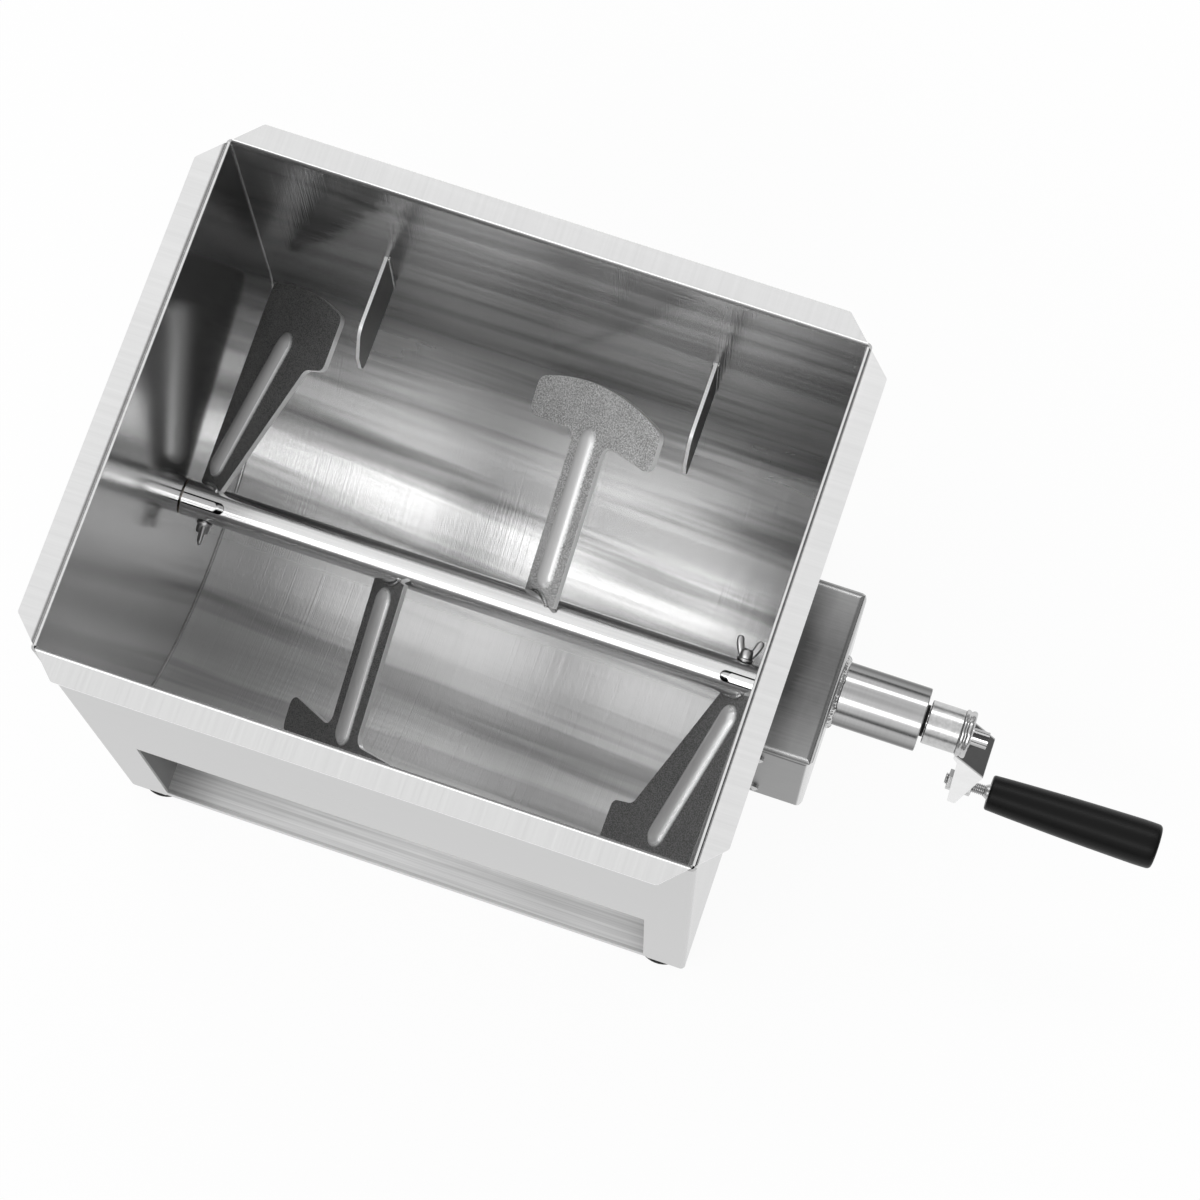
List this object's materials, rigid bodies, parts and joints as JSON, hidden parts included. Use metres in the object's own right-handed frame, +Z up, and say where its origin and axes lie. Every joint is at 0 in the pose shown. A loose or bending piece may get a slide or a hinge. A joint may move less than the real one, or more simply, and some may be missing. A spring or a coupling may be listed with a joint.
{
  "type": "manual meat mixer",
  "caption": "Hand cranked meat mixer with a round bottomed sheet steel tank on a stand, stamped paddles on a removable geared shaft, and a side crank with a turning grip",
  "frame": {"origin": "middle of the footprint at table height", "axes": "+X towards the crank and along the mixing shaft, +Y towards the back wall with the baffles, +Z up"},
  "size_m": [0.5382, 0.2796, 0.338],
  "materials": {
    "sheet_steel": "brushed stainless sheet",
    "machined_steel": "polished stainless bar and tube",
    "arm_steel": "satin pressed stainless",
    "satin_steel": "bead blasted stainless stamping",
    "gear_steel": "cut steel gears",
    "bronze": "turned bearing bronze",
    "bush_plastic": "black bearing plastic",
    "rubber": "black rubber",
    "grip_plastic": "glossy black plastic"
  },
  "bodies": {
    "stand": {"trough": "sheet_steel", "left_tank_wall": "sheet_steel", "right_tank_wall": "sheet_steel", "left_side_plate": "sheet_steel", "right_side_plate": "sheet_steel", "front_panel": "sheet_steel", "back_panel": "sheet_steel", "post_gussets": "sheet_steel", "left_baffle": "sheet_steel", "right_baffle": "sheet_steel", "foot_pads": "rubber", "foot_cups": "machined_steel", "foot_bolts": "machined_steel", "foot_nuts": "machined_steel", "left_boss": "machined_steel", "left_bush": "bronze", "gearbox_base": "sheet_steel", "gearbox_cover": "sheet_steel", "cover_screws": "machined_steel", "output_bush": "bronze", "pilot_bush": "bronze", "bearing_housing": "machined_steel", "housing_collar": "machined_steel", "inner_crank_bush": "bush_plastic", "outer_crank_bush": "bush_plastic"},
    "mixer": {"mixing_shaft": "machined_steel", "left_end_paddle": "satin_steel", "left_t_paddle": "satin_steel", "right_t_paddle": "satin_steel", "right_end_paddle": "satin_steel", "wing_screws": "machined_steel", "left_axle": "machined_steel", "left_key": "machined_steel", "left_ring": "machined_steel", "output_shaft": "machined_steel", "output_key": "machined_steel", "drive_gear": "gear_steel", "gear_key": "machined_steel", "gear_ring": "machined_steel"},
    "crank": {"crank_shaft": "machined_steel", "pinion": "gear_steel", "pinion_pin": "machined_steel", "crank_hub": "machined_steel", "hub_collar": "machined_steel", "crank_arm": "arm_steel", "handle_spindle": "machined_steel", "spindle_nuts": "machined_steel"},
    "handle": {"grip": "grip_plastic"}
  },
  "joints": [
    {"name": "mixer_spin", "type": "hinge", "parent": "stand", "child": "mixer", "pos_m": [-0.10085, 0, 0.154], "axis": [1, 0, 0], "continuous": true},
    {"name": "crank_spin", "type": "hinge", "parent": "stand", "child": "crank", "pos_m": [0.11915, 0, 0.196], "axis": [1, 0, 0], "continuous": true},
    {"name": "grip_spin", "type": "hinge", "parent": "crank", "child": "handle", "pos_m": [0.21915, 0, 0.0815], "axis": [1, 0, 0], "continuous": true}
  ],
  "couplings": [
    {"joint": "crank_spin", "follows": "mixer_spin", "ratio": -3}
  ]
}
